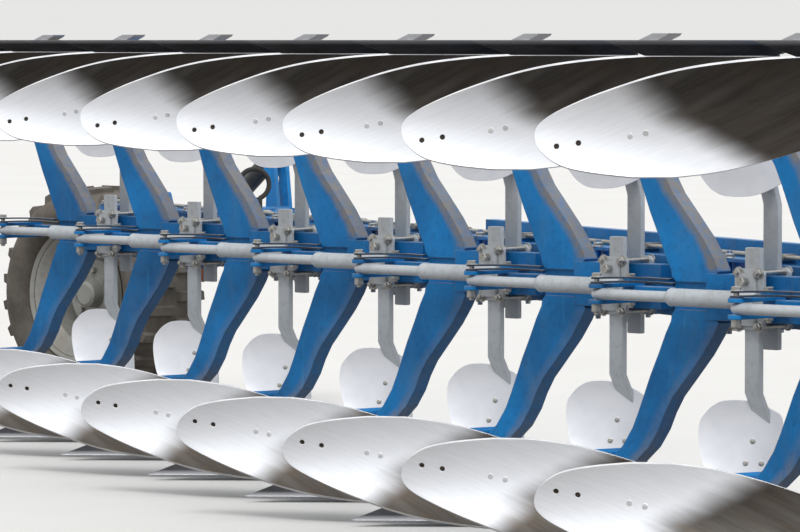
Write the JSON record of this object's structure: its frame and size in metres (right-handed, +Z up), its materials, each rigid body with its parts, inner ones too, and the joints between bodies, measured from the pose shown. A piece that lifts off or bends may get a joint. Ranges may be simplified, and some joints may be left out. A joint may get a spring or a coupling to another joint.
{
  "type": "moldboard plough",
  "caption": "Semi-mounted reversible mouldboard plough with stepped bodies, skimmers, strut rods, a depth wheel and a turnover headstock",
  "frame": {"origin": "on the floor under the middle of the machine's bounding box, as it stands parked", "axes": "+X forward in the direction of travel, +Y to the left, +Z up"},
  "size_m": [11.0472, 5.2692, 1.694],
  "materials": {
    "blue_paint": "saturated blue paint, scratched and worn to grey brown on the front edges",
    "grey_paint": "light grey paint, dusty and chipped",
    "dark_paint": "dark paint, dusty",
    "polished_steel": "steel scoured bright by soil, with dark streaks towards the share",
    "dark_steel": "worn dark steel with a bright cutting edge",
    "bare_pipe": "dull zinc plated pipe",
    "rod_chrome": "chromed rod",
    "rim_paint": "pale paint under dust",
    "black_rubber": "black hose",
    "tyre_rubber": "dusty tread rubber"
  },
  "bodies": {
    "headstock": {"headstock": "blue_paint", "turnover_drive": "blue_paint"},
    "hitch": {"hitch": "blue_paint"},
    "stand": {"stand": "grey_paint"},
    "frame": {"leg_1": "blue_paint", "leg_2": "blue_paint", "leg_3": "blue_paint", "leg_4": "blue_paint", "leg_5": "blue_paint", "leg_6": "blue_paint", "leg_7": "blue_paint", "leg_8": "blue_paint", "leg_9": "blue_paint", "boards_1": "polished_steel", "boards_2": "polished_steel", "boards_3": "polished_steel", "boards_4": "polished_steel", "boards_5": "polished_steel", "boards_6": "polished_steel", "boards_7": "polished_steel", "boards_8": "polished_steel", "boards_9": "polished_steel", "shares_1": "dark_steel", "shares_2": "dark_steel", "shares_3": "dark_steel", "shares_4": "dark_steel", "shares_5": "dark_steel", "shares_6": "dark_steel", "shares_7": "dark_steel", "shares_8": "dark_steel", "shares_9": "dark_steel", "skimmers_1": "grey_paint", "skimmers_2": "grey_paint", "skimmers_3": "grey_paint", "skimmers_4": "grey_paint", "skimmers_5": "grey_paint", "skimmers_6": "grey_paint", "skimmers_7": "grey_paint", "skimmers_8": "grey_paint", "skimmers_9": "grey_paint", "strut_rods": "grey_paint", "beam": "blue_paint", "pipes": "bare_pipe", "hose_loop": "black_rubber", "front_frame": "blue_paint", "wheel_beam": "blue_paint"},
    "carriage": {"carriage": "blue_paint"},
    "wheel_arm": {"wheel_arm": "blue_paint"},
    "lift_barrel": {"lift_barrel": "dark_paint"},
    "lift_rod": {"lift_rod": "rod_chrome"},
    "wheel": {"rim": "rim_paint", "tyre": "tyre_rubber"}
  },
  "joints": [
    {"name": "turnover", "type": "hinge", "parent": "headstock", "child": "frame", "pos_m": [4.87856, -1.71745, 0.847], "axis": [1, 0, 0], "range_deg": [0, 180]},
    {"name": "hitch_swing", "type": "hinge", "parent": "headstock", "child": "hitch", "pos_m": [5.34856, -1.71745, 0.767], "axis": [0, 0, 1], "range_deg": [-45, 45]},
    {"name": "stand_swing", "type": "hinge", "parent": "headstock", "child": "stand", "pos_m": [4.84856, -1.48245, 0.847], "axis": [1, 0, 0], "range_deg": [0, 90]},
    {"name": "carriage_swing", "type": "hinge", "parent": "frame", "child": "carriage", "pos_m": [-3.94356, 2.31255, 0.847], "axis": [1, 0, 0], "range_deg": [-180, 0]},
    {"name": "arm_lift", "type": "hinge", "parent": "carriage", "child": "wheel_arm", "pos_m": [-4.27356, 2.57955, 0.807], "axis": [0, 1, 0], "range_deg": [-20, 20]},
    {"name": "barrel_swing", "type": "hinge", "parent": "carriage", "child": "lift_barrel", "pos_m": [-4.17356, 2.57955, 1.147], "axis": [0, 1, 0], "range_deg": [-13, 13]},
    {"name": "rod_slide", "type": "slide", "parent": "lift_barrel", "child": "lift_rod", "axis": [-0.7791, 0, -0.6269], "range_m": [-0.075, 0.075]},
    {"name": "wheel_spin", "type": "hinge", "parent": "wheel_arm", "child": "wheel", "pos_m": [-5.02356, 2.31255, 0.5], "axis": [0, 1, 0], "continuous": true}
  ],
  "couplings": [
    {"joint": "carriage_swing", "follows": "turnover", "ratio": -1},
    {"joint": "barrel_swing", "follows": "arm_lift", "ratio": 0.5522},
    {"joint": "rod_slide", "follows": "arm_lift", "m_per_rad": -0.20114}
  ]
}
